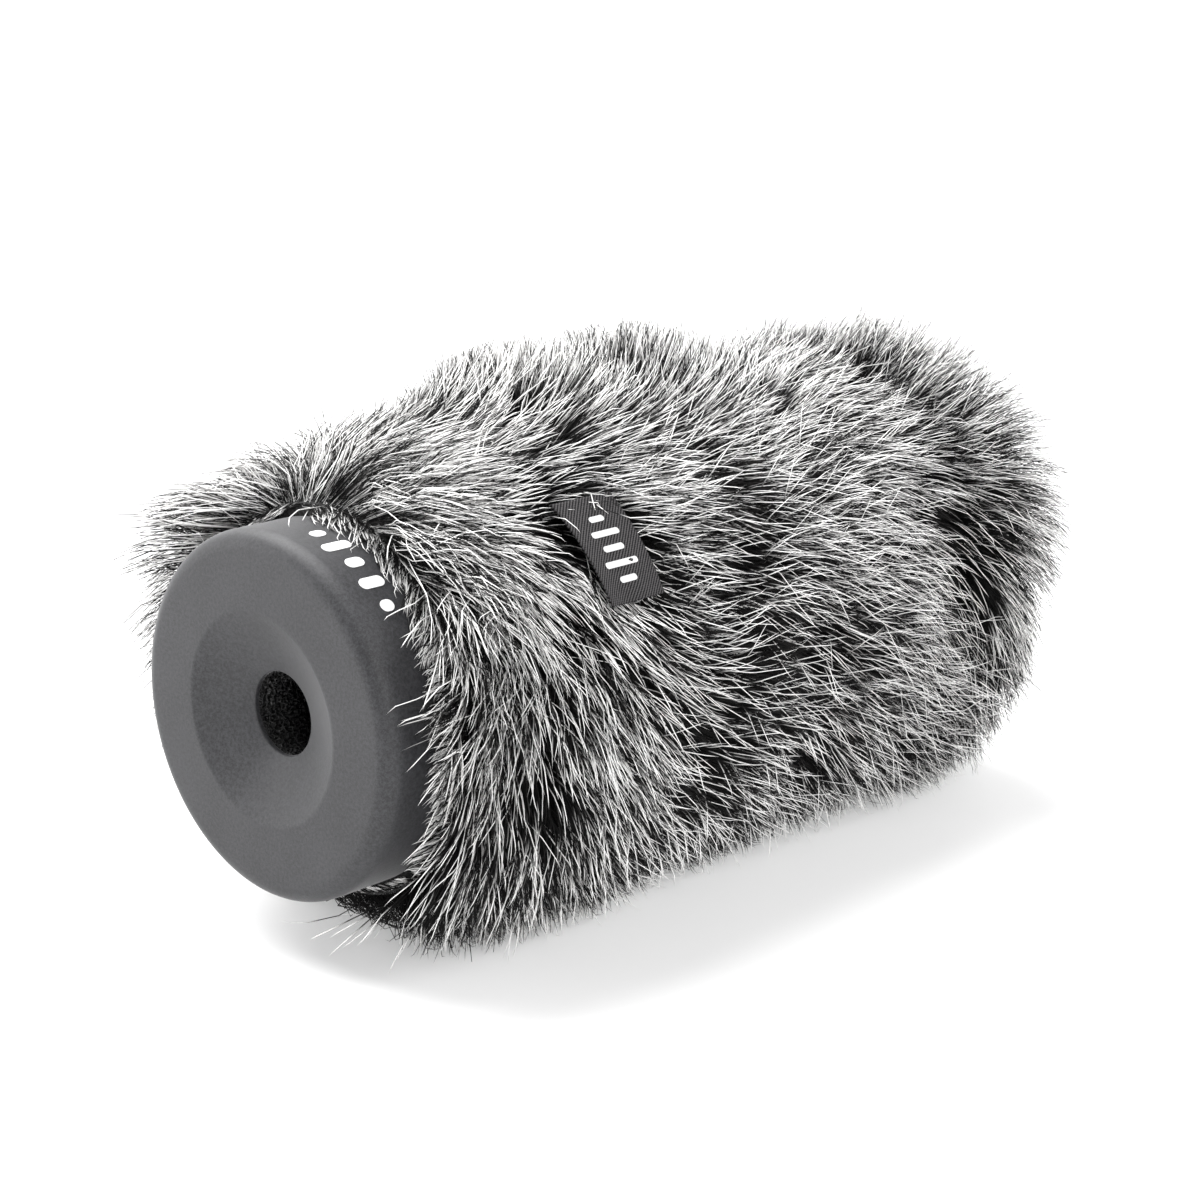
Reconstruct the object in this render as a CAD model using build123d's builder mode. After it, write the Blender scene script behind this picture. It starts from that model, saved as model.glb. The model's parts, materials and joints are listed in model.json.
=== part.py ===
from build123d import *

"""Furry slip-on windscreen for a shotgun microphone, lying on its side.

The bore runs along +Y.  The origin is the centre of the mouth, at the front
edge of the hole in the end cap, so the cap's face lies at negative Y and the
closed, furry end at positive Y.  +Z is up and the windscreen rests on the
flat that its own weight presses into the pile.

An angle named *_angle is measured about the bore, from +X towards +Z.
Lengths are in millimetres.
"""

import os
from math import cos, pi, radians, sin

# ---- driving dimensions -------------------------------------------------
bore_radius = 9.0  # relaxed hole, stretched by microphones of 18 to 23 mm
bore_depth = 178.0  # from the mouth to the blind end of the bore

cap_radius = 39.5
cap_face_y = -6.0  # the face stands this far in front of the mouth
cap_band_end = 12.5  # back of the band that stays in view
cap_wall = 3.5
cap_lip = 1.6  # rubber thickness at the edge of the hole
cap_neck_radius = 38.0
cap_neck_wall = 2.0
cap_neck_end = 28.0
dish_radius = 22.3
cap_edge_round = 5.5
dish_edge_round = 7.0
lip_round = 0.7

foam_radius = 43.0
foam_end = 188.0
glue = 0.3  # thickness of an adhesive film
gap = 0.3  # clearance between soft pieces that only touch

backing = 1.4  # knitted backing of the fur fabric
pile_radius = 60.0  # outside of the lofted pile
floor_z = -53.0  # the flat that the pile rests on
tail_y = 212.0  # furthest point of the pile
end_seam_y = 166.0  # where the sleeve panel meets the end panel

seam_angle = 50.0  # the sleeve's lengthwise seam
allowance_width = 8.0
allowance_plies = 2.4  # two turned-in plies of backing
allowance_start = 31.0

thread_radius = 0.25
stitch_length = 2.6
stitch_pitch = 3.5

elastic_radius = 1.2
binding_radius = 2.2  # outside of the tape folded round the elastic
binding_inner = 1.35

label_y = 50.6  # middle of the label's width
label_width = 17.5
label_plies = 1.2  # ribbon folded in two
label_radius = 56.0  # underside of the flap
label_tip_angle = 25.0
label_corner = 1.2
pocket_margin = 2.5  # how far the pile stays off each side of the label

mark_angle = 61.5  # middle of the printed mark on the band
mark_y = 4.4
mark_thickness = 0.14
mark_bar_width = 2.7
mark_bar_step_angle = 8.6
mark_bar_lengths = (3.3, 6.2, 4.5, 7.2, 3.7)

# ---- sizes that follow ---------------------------------------------------
cap_inner_radius = cap_neck_radius - cap_neck_wall
spigot_radius = cap_inner_radius - glue
spigot_front = cap_face_y + cap_wall + 0.2
sleeve_inner = foam_radius + gap
backing_outer = sleeve_inner + backing
allowance_inner = sleeve_inner - 0.1 - allowance_plies
groove_radius = allowance_inner - 2 * thread_radius - 0.2
stitch_radius = allowance_inner - thread_radius - 0.05
plug_edge_round = 8.0
binding_r = cap_neck_radius + 0.2 + binding_radius
binding_y = cap_band_end + 0.3 + binding_radius
sleeve_front = binding_y + binding_radius + 0.7
end_allowance_start = end_seam_y - allowance_width - 0.5
allowance_end = end_allowance_start - 0.5
pocket_outer = pile_radius + 10


def radial_plane(angle):
    """Half-plane through the bore's axis: local x is the radius, local y is +Y."""
    a = radians(angle)
    return Plane(origin=(0, 0, 0), x_dir=(cos(a), 0, sin(a)), z_dir=(-sin(a), 0, cos(a)))


def tangent_plane(angle, radius, y):
    """Plane touching a cylinder about the bore: local x is +Y, local y is round the bore."""
    a = radians(angle)
    centre = (radius * cos(a), y, radius * sin(a))
    return Plane(origin=centre, x_dir=(0, 1, 0), z_dir=(cos(a), 0, sin(a)))


def stitch_planes(angles, radius, ys):
    """Planes square to stitches that run round the bore, one for each angle and y."""
    planes = []
    for angle in angles:
        for y in ys:
            touch = tangent_plane(angle, radius, y)
            planes.append(Plane(touch.origin, x_dir=touch.z_dir, z_dir=touch.y_dir))
    return planes


def ring_of_stitches(radius, y):
    """Stitch planes spaced evenly all the way round the bore."""
    count = int(2 * pi * radius / stitch_pitch)
    return stitch_planes([360 * i / count for i in range(count)], radius, [y])


def save(piece, name):
    """Label a finished piece and write it as its own STEP file."""
    piece.part.label = name
    export_step(piece.part, f"parts/{name}.step")


os.makedirs("parts", exist_ok=True)

# ---- end cap: soft rubber cup with a dished face --------------------------
with BuildPart() as end_cap:
    with BuildSketch(Plane.XY) as cap_profile:
        with BuildLine():
            Polyline(
                (bore_radius, 0),
                (dish_radius, cap_face_y),
                (cap_radius, cap_face_y),
                (cap_radius, cap_band_end),
                (cap_neck_radius, cap_band_end),
                (cap_neck_radius, cap_neck_end),
                (cap_inner_radius, cap_neck_end),
                (cap_inner_radius, cap_face_y + cap_wall),
                (dish_radius, cap_face_y + cap_wall),
                (bore_radius, cap_lip),
                close=True,
            )
        make_face()
        corners = cap_profile.vertices()
        fillet(corners.sort_by_distance((cap_radius, cap_face_y))[0], cap_edge_round)
        fillet(corners.sort_by_distance((dish_radius, cap_face_y))[0], dish_edge_round)
        fillet(corners.sort_by_distance((bore_radius, 0))[0], lip_round)
        fillet(corners.sort_by_distance((cap_radius, cap_band_end))[0], 0.8)
    revolve(axis=Axis.Y)
save(end_cap, "end_cap")

# ---- generic printed mark: five level bars wrapped on the band ------------
with BuildPart() as end_cap_mark:
    for i, length in enumerate(mark_bar_lengths):
        angle = mark_angle + (i - 2) * mark_bar_step_angle
        with BuildSketch(tangent_plane(angle, cap_radius - 2, mark_y)):
            SlotOverall(length, mark_bar_width)
        extrude(amount=4)
    with BuildPart(mode=Mode.PRIVATE) as ink:
        with BuildSketch(Plane.XY):
            with Locations((cap_radius + 0.02 + mark_thickness / 2, mark_y)):
                Rectangle(mark_thickness, 2 * cap_band_end)
        revolve(axis=Axis.Y)
    add(ink.part, mode=Mode.INTERSECT)
save(end_cap_mark, "end_cap_mark")

# ---- foam core -------------------------------------------------------------
with BuildPart() as foam_sleeve:
    with BuildSketch(Plane.XY) as foam_profile:
        with BuildLine():
            Polyline(
                (bore_radius, cap_lip + 0.2),
                (dish_radius, spigot_front),
                (spigot_radius, spigot_front),
                (spigot_radius, cap_neck_end + 0.5),
                (foam_radius, cap_neck_end + 0.5),
                (foam_radius, end_allowance_start - 0.5),
                (groove_radius, end_allowance_start - 0.5),
                (groove_radius, end_seam_y + 0.3),
                (foam_radius, end_seam_y + 0.3),
                (foam_radius, bore_depth),
                (bore_radius, bore_depth),
                close=True,
            )
        make_face()
        shoulder = foam_profile.vertices().sort_by_distance((foam_radius, cap_neck_end + 0.5))[0]
        fillet(shoulder, 4)
    revolve(axis=Axis.Y)
    # relief pressed into the foam by the lengthwise seam
    relief_length = end_allowance_start - allowance_start + 4
    relief_middle = (end_allowance_start + allowance_start) / 2 - 2
    with BuildSketch(tangent_plane(seam_angle, groove_radius, relief_middle)):
        Rectangle(relief_length, allowance_width + 1)
    extrude(amount=foam_radius, mode=Mode.SUBTRACT)
save(foam_sleeve, "foam_sleeve")

with BuildPart() as foam_end_plug:
    with BuildSketch(Plane.XY) as plug_profile:
        with BuildLine():
            Polyline(
                (0, bore_depth + glue),
                (foam_radius, bore_depth + glue),
                (foam_radius, foam_end),
                (0, foam_end),
                close=True,
            )
        make_face()
        fillet(plug_profile.vertices().sort_by_distance((foam_radius, foam_end))[0], plug_edge_round)
    revolve(axis=Axis.Y)
save(foam_end_plug, "foam_end_plug")

with BuildPart() as plug_glue_film:
    with BuildSketch(Plane.XZ.offset(-bore_depth)):
        Circle(foam_radius - 1)
        Circle(bore_radius + 1, mode=Mode.SUBTRACT)
    extrude(amount=-glue)
save(plug_glue_film, "plug_glue_film")

with BuildPart() as cap_glue_film:
    with BuildSketch(Plane.XZ.offset(-8)):
        Circle(cap_inner_radius)
        Circle(spigot_radius, mode=Mode.SUBTRACT)
    extrude(amount=-18)
save(cap_glue_film, "cap_glue_film")

# ---- fur sleeve: backing with its lofted pile, one sewn tube ----------------
pocket_start_angle = seam_angle + 6
pocket_end_angle = label_tip_angle - 5
pocket_floor = label_radius - 0.4
with BuildPart() as fur_sleeve:
    with BuildSketch(Plane.XY):
        with BuildLine():
            hem_edge = binding_r + binding_radius + 0.3
            flare = (hem_edge + 6, cap_band_end - 3)
            Polyline(
                (pile_radius - 5, end_seam_y - 0.2),
                (sleeve_inner, end_seam_y - 0.2),
                (sleeve_inner, cap_neck_end - 1),
                (cap_neck_radius + gap, cap_neck_end - 6),
                (cap_neck_radius + gap, sleeve_front),
                (hem_edge, sleeve_front),
                (hem_edge, cap_band_end + 1),
                flare,
            )
            Spline(flare, (57, 12.5), (pile_radius, 26), tangents=((1, -0.2), (0, 1)))
            Line((pile_radius, 26), (pile_radius, end_seam_y - 16))
            Spline(
                (pile_radius, end_seam_y - 16),
                (pile_radius - 5, end_seam_y - 0.2),
                tangents=((0, 1), (-0.6, 0.8)),
            )
        make_face()
    revolve(axis=Axis.Y)
    # flat pressed into the pile by the floor
    with BuildSketch(Plane.XY.offset(floor_z)):
        Rectangle(4 * pile_radius, 3 * tail_y)
    extrude(amount=-pile_radius, mode=Mode.SUBTRACT)
    # pocket where the pile parts round the label
    with BuildSketch(radial_plane(pocket_start_angle)):
        with Locations(((pocket_floor + pocket_outer) / 2, label_y)):
            Rectangle(pocket_outer - pocket_floor, label_width + 2 * pocket_margin)
    revolve(axis=Axis.Y, revolution_arc=pocket_start_angle - pocket_end_angle, mode=Mode.SUBTRACT)
    # slit down to the seam for the sewn end of the label
    with BuildSketch(tangent_plane(seam_angle, backing_outer, label_y)):
        Rectangle(label_width + 2, label_plies + 2.4)
    extrude(amount=label_radius - backing_outer + 1, mode=Mode.SUBTRACT)
save(fur_sleeve, "fur_sleeve")

# ---- fur end panel: gathered disc that closes the far end -------------------
with BuildPart() as fur_end_panel:
    with BuildSketch(Plane.XY) as panel_profile:
        with BuildLine():
            seam = (pile_radius - 5, end_seam_y + 0.2)
            Polyline(
                seam,
                (sleeve_inner, end_seam_y + 0.2),
                (sleeve_inner, foam_end + gap),
                (0, foam_end + gap),
                (0, tail_y),
            )
            Spline(
                (0, tail_y),
                (pile_radius - 18, tail_y - 3),
                (pile_radius - 2, tail_y - 15),
                (pile_radius, tail_y - 27),
                seam,
                tangents=((1, 0), (-0.7, -0.7)),
            )
        make_face()
        corners = panel_profile.vertices()
        fillet(corners.sort_by_distance((sleeve_inner, foam_end + gap))[0], plug_edge_round)
    revolve(axis=Axis.Y)
    with BuildSketch(Plane.XY.offset(floor_z)):
        Rectangle(4 * pile_radius, 3 * tail_y)
    extrude(amount=-pile_radius, mode=Mode.SUBTRACT)
save(fur_end_panel, "fur_end_panel")

# ---- seam allowances turned in against the foam -----------------------------
with BuildPart() as sleeve_seam_allowance:
    strip_middle = (allowance_start + allowance_end) / 2
    with BuildSketch(tangent_plane(seam_angle, allowance_inner, strip_middle)):
        Rectangle(allowance_end - allowance_start, allowance_width)
    extrude(amount=allowance_plies - 0.2)
save(sleeve_seam_allowance, "sleeve_seam_allowance")

with BuildPart() as end_seam_allowance:
    with BuildSketch(Plane.XY):
        with Locations((allowance_inner + allowance_plies / 2, end_seam_y - allowance_width / 2 - 0.3)):
            Rectangle(allowance_plies, allowance_width - 0.4)
    revolve(axis=Axis.Y)
save(end_seam_allowance, "end_seam_allowance")

with BuildPart() as sleeve_seam_stitches:
    stitch_count = int((allowance_end - allowance_start - 4) / stitch_pitch)
    stitch_ys = [allowance_start + 2 + i * stitch_pitch for i in range(stitch_count)]
    with BuildSketch(*stitch_planes([seam_angle], stitch_radius, stitch_ys)):
        Circle(thread_radius)
    extrude(amount=stitch_length / 2, both=True)
save(sleeve_seam_stitches, "sleeve_seam_stitches")

with BuildPart() as end_seam_stitches:
    with BuildSketch(*ring_of_stitches(stitch_radius, end_seam_y - allowance_width / 2)):
        Circle(thread_radius)
    extrude(amount=stitch_length / 2, both=True)
save(end_seam_stitches, "end_seam_stitches")

# ---- hem: tape folded round an elastic cord, gripping the cap's neck --------
with BuildPart() as hem_elastic:
    with BuildSketch(Plane.XY):
        with Locations((binding_r, binding_y)):
            Circle(elastic_radius)
    revolve(axis=Axis.Y)
save(hem_elastic, "hem_elastic")

with BuildPart() as hem_binding:
    with BuildSketch(Plane.XY):
        with Locations((binding_r, binding_y)):
            Circle(binding_radius)
            Circle(binding_inner, mode=Mode.SUBTRACT)
    revolve(axis=Axis.Y)
save(hem_binding, "hem_binding")

with BuildPart() as hem_stitches:
    with BuildSketch(*ring_of_stitches(binding_r, binding_y + binding_radius + thread_radius + 0.05)):
        Circle(thread_radius)
    extrude(amount=stitch_length / 2, both=True)
save(hem_stitches, "hem_stitches")

# ---- label: folded ribbon sewn into the lengthwise seam ----------------------
with BuildPart() as label_seam_tab:
    with BuildSketch(tangent_plane(seam_angle, backing_outer + 0.1, label_y)):
        Rectangle(label_width, label_plies)
    extrude(amount=label_radius - backing_outer - 0.7)
save(label_seam_tab, "label_seam_tab")

with BuildPart() as label_tack_stitches:
    tack_count = int((label_width - 2) / stitch_pitch)
    for i in range(tack_count):
        tack_y = label_y - label_width / 2 + 2.5 + i * stitch_pitch
        touch = tangent_plane(seam_angle, backing_outer + 1.2, tack_y)
        side = touch.origin - touch.y_dir * (label_plies / 2 + thread_radius + 0.05)
        with BuildSketch(Plane(side, x_dir=touch.z_dir, z_dir=(0, 1, 0))):
            Circle(thread_radius)
        extrude(amount=stitch_length / 2, both=True)
save(label_tack_stitches, "label_tack_stitches")

with BuildPart() as label_flap:
    with BuildSketch(radial_plane(seam_angle - 0.4)):
        with Locations((label_radius + label_plies / 2, label_y)):
            Rectangle(label_plies, label_width)
    revolve(axis=Axis.Y, revolution_arc=seam_angle - 0.4 - label_tip_angle)
    tip_face = label_flap.faces().sort_by(Axis.Z)[0]
    tip_corners = tip_face.edges().filter_by(Axis.Y, reverse=True)
    fillet(tip_corners, label_corner)
save(label_flap, "label_flap")
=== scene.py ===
"""Looks of a furry slip-on windscreen: rubber cap, reticulated foam, woven label and long pile.

Everything is in metres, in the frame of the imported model: the bore runs along +Y from the mouth at
the origin, +Z is up.  Angles called *around are in degrees about the bore, from +X towards +Z.
Headings lie in the surface of the cover: 0 is away from the mouth, 90 is round towards +around.
"""

import json
import math

import bpy
import numpy as np
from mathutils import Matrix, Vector, kdtree


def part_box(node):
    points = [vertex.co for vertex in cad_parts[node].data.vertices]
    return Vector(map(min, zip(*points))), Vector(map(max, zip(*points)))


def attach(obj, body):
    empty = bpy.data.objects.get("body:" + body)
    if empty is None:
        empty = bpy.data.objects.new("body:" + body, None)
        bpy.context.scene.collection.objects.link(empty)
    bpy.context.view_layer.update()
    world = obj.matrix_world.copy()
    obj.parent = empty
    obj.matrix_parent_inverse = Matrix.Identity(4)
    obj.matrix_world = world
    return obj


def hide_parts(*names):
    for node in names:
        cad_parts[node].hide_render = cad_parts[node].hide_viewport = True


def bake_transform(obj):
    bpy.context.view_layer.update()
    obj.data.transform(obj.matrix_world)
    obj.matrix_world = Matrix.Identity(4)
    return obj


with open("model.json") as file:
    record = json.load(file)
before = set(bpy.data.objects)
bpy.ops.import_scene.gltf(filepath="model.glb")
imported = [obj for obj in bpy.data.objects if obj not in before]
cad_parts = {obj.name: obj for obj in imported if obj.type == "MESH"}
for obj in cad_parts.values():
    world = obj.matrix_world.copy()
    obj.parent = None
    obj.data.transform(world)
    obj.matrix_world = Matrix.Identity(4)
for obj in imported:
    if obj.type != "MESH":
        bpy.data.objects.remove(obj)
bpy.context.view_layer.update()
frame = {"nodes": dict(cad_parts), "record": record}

MM = 0.001
rng = np.random.default_rng(7)

# ---- sizes read from the frame --------------------------------------------
cap_low, cap_high = (np.array(v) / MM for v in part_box("end_cap"))
sleeve_low, sleeve_high = (np.array(v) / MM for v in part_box("fur_sleeve"))
panel_low, panel_high = (np.array(v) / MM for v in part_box("fur_end_panel"))
foam_low, foam_high = (np.array(v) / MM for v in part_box("foam_sleeve"))
plug_low, plug_high = (np.array(v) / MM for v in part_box("foam_end_plug"))
tab_low, tab_high = (np.array(v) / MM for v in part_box("label_seam_tab"))
flap_low, flap_high = (np.array(v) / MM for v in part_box("label_flap"))
binding_low, binding_high = (np.array(v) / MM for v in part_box("hem_binding"))
hinge = np.array(frame["record"]["behaviour"]["joints"][0]["pos_m"]) / MM
bore_radius = frame["record"]["mounts"][0]["dims"]["r_mm"]

CAP_RADIUS = cap_high[0]
FOAM_RADIUS = foam_high[0]
BACKING = 1.4
BACKING_RADIUS = FOAM_RADIUS + 0.3 + BACKING
PILE_RADIUS = sleeve_high[0]
FLOOR = sleeve_low[2]
END_SEAM = panel_low[1]
HEM = binding_high[1] - 3.2
FOAM_END = plug_high[1]
LABEL_MIDDLE = hinge[1]
LABEL_WIDTH = flap_high[1] - flap_low[1]
LABEL_RADIUS = math.hypot(hinge[0], hinge[2])
LABEL_LEAN = -1.4  # how far the free end hangs towards the mouth
SEAM_AROUND = math.degrees(math.atan2(hinge[2], hinge[0]))
LABEL_TIP_AROUND = math.degrees(math.atan2(flap_low[2], flap_high[0]))


# ---- small node and mesh helpers --------------------------------------------
class Shader:
    """A principled material and short ways to add nodes to it."""

    def __init__(self, name):
        self.material = bpy.data.materials.new(name)
        self.material.use_nodes = True
        self.tree = self.material.node_tree
        self.bsdf = self.tree.nodes["Principled BSDF"]

    def node(self, kind, **settings):
        made = self.tree.nodes.new(kind)
        for key, value in settings.items():
            setattr(made, key, value)
        return made

    def link(self, source, target):
        self.tree.links.new(source, target)

    def set(self, **values):
        for key, value in values.items():
            self.bsdf.inputs[key.replace("_", " ")].default_value = value

    def place(self):
        return self.node("ShaderNodeTexCoord").outputs["Object"]

    def noise(self, size_mm, detail=2.0, roughness=0.5, vector=None):
        made = self.node("ShaderNodeTexNoise")
        made.inputs["Scale"].default_value = 1 / (size_mm * MM)
        made.inputs["Detail"].default_value = detail
        made.inputs["Roughness"].default_value = roughness
        self.link(vector or self.place(), made.inputs["Vector"])
        return made.outputs["Fac"]

    def ramp(self, factor, stops):
        made = self.node("ShaderNodeValToRGB")
        band = made.color_ramp
        while len(band.elements) < len(stops):
            band.elements.new(0.5)
        for element, (where, colour) in zip(band.elements, stops):
            element.position = where
            element.color = (*colour, 1) if isinstance(colour, tuple) else (colour, colour, colour, 1)
        self.link(factor, made.inputs["Fac"])
        return made.outputs["Color"]

    def math(self, kind, a, b=None):
        made = self.node("ShaderNodeMath", operation=kind)
        for socket, value in zip(made.inputs, (a, b)):
            if value is None:
                continue
            if isinstance(value, (int, float)):
                socket.default_value = value
            else:
                self.link(value, socket)
        return made.outputs[0]

    def bump(self, height, depth_mm, strength=1.0):
        made = self.node("ShaderNodeBump")
        made.inputs["Distance"].default_value = depth_mm * MM
        made.inputs["Strength"].default_value = strength
        self.link(height, made.inputs["Height"])
        self.link(made.outputs["Normal"], self.bsdf.inputs["Normal"])

    def rough(self, factor, low, high):
        made = self.node("ShaderNodeMapRange")
        made.inputs["To Min"].default_value = low
        made.inputs["To Max"].default_value = high
        self.link(factor, made.inputs["Value"])
        self.link(made.outputs["Result"], self.bsdf.inputs["Roughness"])


def mesh_piece(name, verts_mm, faces, material, smooth=True):
    """A mesh object from points in millimetres."""
    mesh = bpy.data.meshes.new(name)
    mesh.from_pydata((np.asarray(verts_mm) * MM).tolist(), [], faces)
    mesh.update()
    if smooth:
        mesh.polygons.foreach_set("use_smooth", [True] * len(mesh.polygons))
    piece = bpy.data.objects.new(name, mesh)
    bpy.context.scene.collection.objects.link(piece)
    mesh.materials.append(material)
    return piece


def grid_faces(rows, columns, wrap_rows=False, wrap_columns=False):
    """Quads of a rows x columns lattice of points."""
    faces = []
    for i in range(rows if wrap_rows else rows - 1):
        for j in range(columns if wrap_columns else columns - 1):
            a, b = i * columns + j, i * columns + (j + 1) % columns
            c = ((i + 1) % rows) * columns + (j + 1) % columns
            d = ((i + 1) % rows) * columns + j
            faces.append((a, b, c, d))
    return faces


def lathe(name, outline, segments, material):
    """Closed outline of (radius, y) points in millimetres, turned about the bore."""
    outline = np.asarray(outline)
    turn = np.linspace(0, 2 * math.pi, segments, endpoint=False)
    x = outline[:, :1] * np.cos(turn)
    z = outline[:, :1] * np.sin(turn)
    y = np.repeat(outline[:, 1:], segments, axis=1)
    verts = np.stack([x, y, z], axis=-1).reshape(-1, 3)
    faces = grid_faces(len(outline), segments, wrap_rows=True, wrap_columns=True)
    return mesh_piece(name, verts, faces, material)


def rounded(corners, steps=8):
    """Outline through (radius, y, fillet) corners, each fillet an arc."""
    points = []
    count = len(corners)
    for i, (r, y, fillet) in enumerate(corners):
        here = np.array([r, y])
        if fillet == 0:
            points.append(here)
            continue
        before = np.array(corners[i - 1][:2]) - here
        after = np.array(corners[(i + 1) % count][:2]) - here
        before /= np.linalg.norm(before)
        after /= np.linalg.norm(after)
        half = math.acos(np.clip(before @ after, -1, 1)) / 2
        middle = (before + after) / np.linalg.norm(before + after)
        centre = here + middle * fillet / math.sin(half)
        start = here + before * fillet / math.tan(half) - centre
        stop = here + after * fillet / math.tan(half) - centre
        sweep = math.acos(np.clip(start @ stop / fillet**2, -1, 1))
        for k in range(steps + 1):
            t = k / steps
            blend = (math.sin((1 - t) * sweep) * start + math.sin(t * sweep) * stop) / math.sin(sweep)
            points.append(centre + blend)
    return points


def refined(points, longest):
    """The closed outline with its long straight runs divided."""
    result = []
    for i, here in enumerate(points):
        after = points[(i + 1) % len(points)]
        pieces = max(1, int(np.linalg.norm(after - here) / longest))
        result += [here + (after - here) * k / pieces for k in range(pieces)]
    return result


def value_noise(points, size, seed, channels=1):
    """Smooth noise from -1 to 1 at 3-D points, with features of the given size."""
    lattice = np.random.default_rng(seed).uniform(-1, 1, (32, 32, 32, channels))
    where = points / size
    cell = np.floor(where).astype(int)
    part = where - cell
    part = part * part * (3 - 2 * part)
    total = 0
    for corner in np.ndindex(2, 2, 2):
        index = (cell + corner) % 32
        weight = np.prod(np.where(corner, part, 1 - part), axis=-1)
        total = total + weight[..., None] * lattice[index[..., 0], index[..., 1], index[..., 2]]
    return total


# ---- materials ---------------------------------------------------------------
def rubber_material():
    """Moulded matte rubber with a fine, even grain."""
    s = Shader("cap_rubber")
    grain = s.noise(0.75, detail=4, roughness=0.9)
    cloud = s.noise(14, detail=2)
    tone = s.math("ADD", s.math("MULTIPLY", grain, 0.85), s.math("MULTIPLY", cloud, 0.15))
    rubber_tones = [(0.4, (0.0085, 0.0085, 0.01)), (0.6, (0.0355, 0.0355, 0.0395))]
    s.link(s.ramp(tone, rubber_tones), s.bsdf.inputs["Base Color"])
    s.rough(grain, 0.5, 0.66)
    s.bump(grain, 0.05, 0.55)
    s.set(Specular_IOR_Level=0.5, Sheen_Weight=0.25, Sheen_Roughness=0.3)
    return s.material


def ink_material():
    """Screen print, slightly broken up by the grain under it."""
    s = Shader("print_ink")
    grain = s.noise(0.25, detail=2)
    s.link(s.ramp(grain, [(0.2, 0.62), (0.5, 0.86)]), s.bsdf.inputs["Base Color"])
    s.rough(grain, 0.45, 0.6)
    s.bump(grain, 0.02)
    return s.material


def foam_material():
    """Black reticulated foam: a web of thin walls round open cells, with painted shade darkening the inside
    of each cell.
    """
    s = Shader("foam")
    cells = s.node("ShaderNodeTexVoronoi", feature="DISTANCE_TO_EDGE")
    cells.inputs["Scale"].default_value = 1 / (1.4 * MM)
    s.link(s.place(), cells.inputs["Vector"])
    # the foam's own near-black at the cell walls, going to painted shade, darker still, inside the open
    # cells
    struts_over_cell_shade = s.ramp(cells.outputs["Distance"], [(0.02, 0.032), (0.16, 0.0015)])
    s.link(struts_over_cell_shade, s.bsdf.inputs["Base Color"])
    s.rough(cells.outputs["Distance"], 0.35, 0.9)
    s.bump(s.ramp(cells.outputs["Distance"], [(0.02, 1.0), (0.3, 0.0)]), 0.5)
    return s.material


def glue_material():
    """Dried contact adhesive."""
    s = Shader("adhesive")
    lumps = s.noise(1.5, detail=2)
    s.link(s.ramp(lumps, [(0.3, (0.32, 0.27, 0.17)), (0.7, (0.5, 0.44, 0.3))]), s.bsdf.inputs["Base Color"])
    s.rough(lumps, 0.3, 0.55)
    s.bump(lumps, 0.1)
    return s.material


def knit_material(name, light, pitch_mm):
    """Dark knitted or braided textile."""
    s = Shader(name)
    wales = s.node("ShaderNodeTexWave", wave_type="BANDS", bands_direction="DIAGONAL")
    wales.inputs["Scale"].default_value = 0.3 / (pitch_mm * MM)
    wales.inputs["Distortion"].default_value = 2.0
    s.link(s.place(), wales.inputs["Vector"])
    fuzz = s.noise(pitch_mm * 0.6, detail=3)
    height = s.math("ADD", s.math("MULTIPLY", wales.outputs["Fac"], 0.6), s.math("MULTIPLY", fuzz, 0.4))
    s.link(s.ramp(height, [(0.25, light * 0.35), (0.75, light)]), s.bsdf.inputs["Base Color"])
    s.rough(fuzz, 0.8, 0.95)
    s.bump(height, pitch_mm * 0.2)
    s.set(Sheen_Weight=0.2, Sheen_Roughness=0.4)
    return s.material


def twill_material():
    """Charcoal ribbon woven in a fine diagonal twill; the cloth UV map is in millimetres."""
    s = Shader("label_ribbon")
    split = s.node("ShaderNodeSeparateXYZ")
    s.link(s.node("ShaderNodeUVMap", uv_map="cloth").outputs["UV"], split.inputs[0])
    across, along = split.outputs["X"], split.outputs["Y"]
    rib, pick = 0.9, 0.45  # mm between diagonal ribs and between weft threads
    diagonal = s.math("SINE", s.math("MULTIPLY", s.math("ADD", across, along), 2 * math.pi / rib))
    weft = s.math("SINE", s.math("MULTIPLY", along, 2 * math.pi / pick))
    fuzz = s.noise(0.5, detail=2, roughness=0.8)
    height = s.math("ADD", s.math("MULTIPLY", diagonal, 0.26), s.math("MULTIPLY", weft, 0.1))
    height = s.math("ADD", s.math("ADD", height, 0.2), s.math("MULTIPLY", fuzz, 0.6))
    yarn_tones = [(0.36, (0.004, 0.0037, 0.004)), (0.64, (0.066, 0.063, 0.065))]
    s.link(s.ramp(height, yarn_tones), s.bsdf.inputs["Base Color"])
    s.rough(fuzz, 0.7, 0.9)
    s.bump(height, 0.07)
    s.set(Specular_IOR_Level=0.15)
    return s.material


def motif_material():
    """White weft of the label's woven motif."""
    s = Shader("label_motif")
    threads = s.node("ShaderNodeTexWave", wave_type="BANDS", bands_direction="Y")
    threads.inputs["Scale"].default_value = 0.3 / (0.3 * MM)
    s.link(s.place(), threads.inputs["Vector"])
    s.link(s.ramp(threads.outputs["Fac"], [(0.1, 0.42), (0.8, 0.82)]), s.bsdf.inputs["Base Color"])
    s.rough(threads.outputs["Fac"], 0.5, 0.7)
    s.bump(threads.outputs["Fac"], 0.06)
    return s.material


PILE_UV = "OFBake"


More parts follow.
